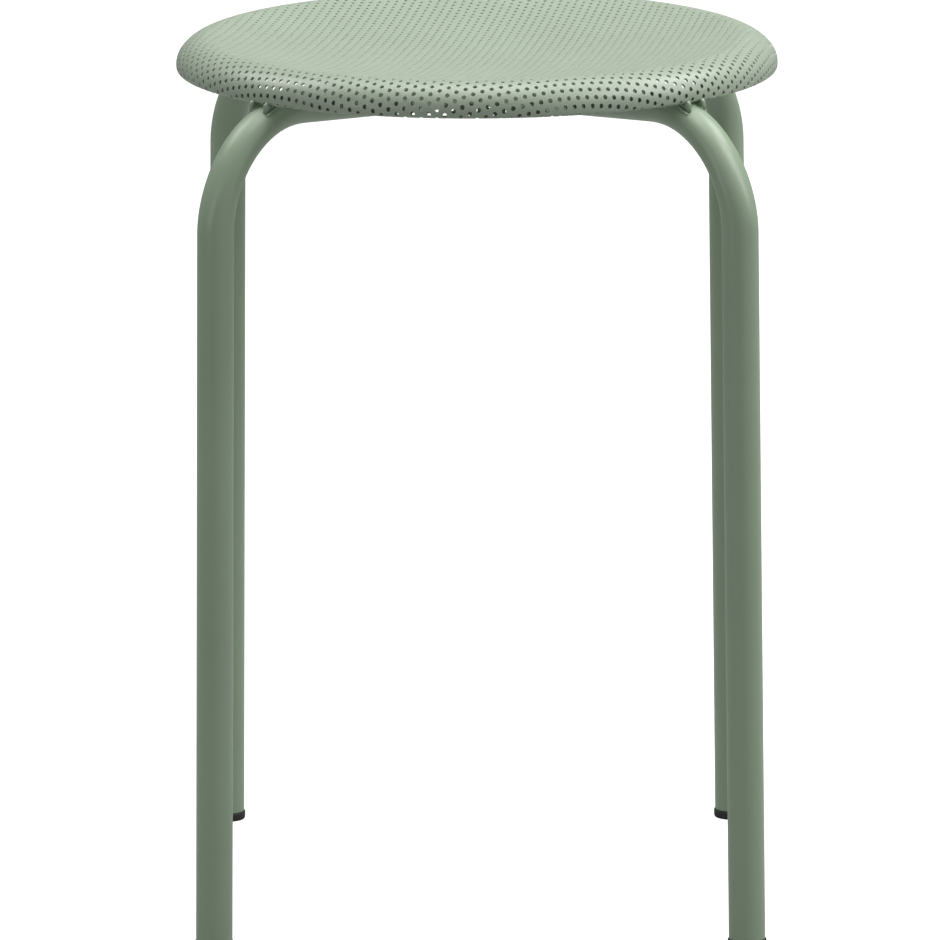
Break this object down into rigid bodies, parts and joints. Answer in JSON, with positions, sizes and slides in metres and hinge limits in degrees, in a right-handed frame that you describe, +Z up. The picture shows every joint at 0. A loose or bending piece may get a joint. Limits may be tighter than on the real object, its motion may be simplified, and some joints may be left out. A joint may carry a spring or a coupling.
{
  "type": "stool",
  "caption": "Low round stool: dished perforated sheet seat with a rolled rim on crossed diagonal tube hoops, small seat lugs and plug-in foot caps.",
  "frame": {"origin": "on the floor, under the middle of the seat", "axes": "+Z up; -Y is the front, so the legs stand at the four corners of a square whose sides run along X and Y"},
  "size_m": [0.315, 0.315, 0.457],
  "materials": {
    "seat_coat": "fine satin powder coat, light sage green",
    "frame_coat": "fine satin powder coat, light sage green",
    "cap_plastic": "matt black moulded plastic"
  },
  "bodies": {
    "root": {"seat_pan": "seat_coat", "frame_hoop": "frame_coat", "frame_half_front_right": "frame_coat", "frame_half_back_left": "frame_coat", "seat_lug_front_left_1": "frame_coat", "seat_lug_front_left_2": "frame_coat", "seat_lug_front_right_1": "frame_coat", "seat_lug_front_right_2": "frame_coat", "seat_lug_back_right_1": "frame_coat", "seat_lug_back_right_2": "frame_coat", "seat_lug_back_left_1": "frame_coat", "seat_lug_back_left_2": "frame_coat", "foot_cap_front_left": "cap_plastic", "foot_cap_front_right": "cap_plastic", "foot_cap_back_right": "cap_plastic", "foot_cap_back_left": "cap_plastic"}
  },
  "joints": []
}
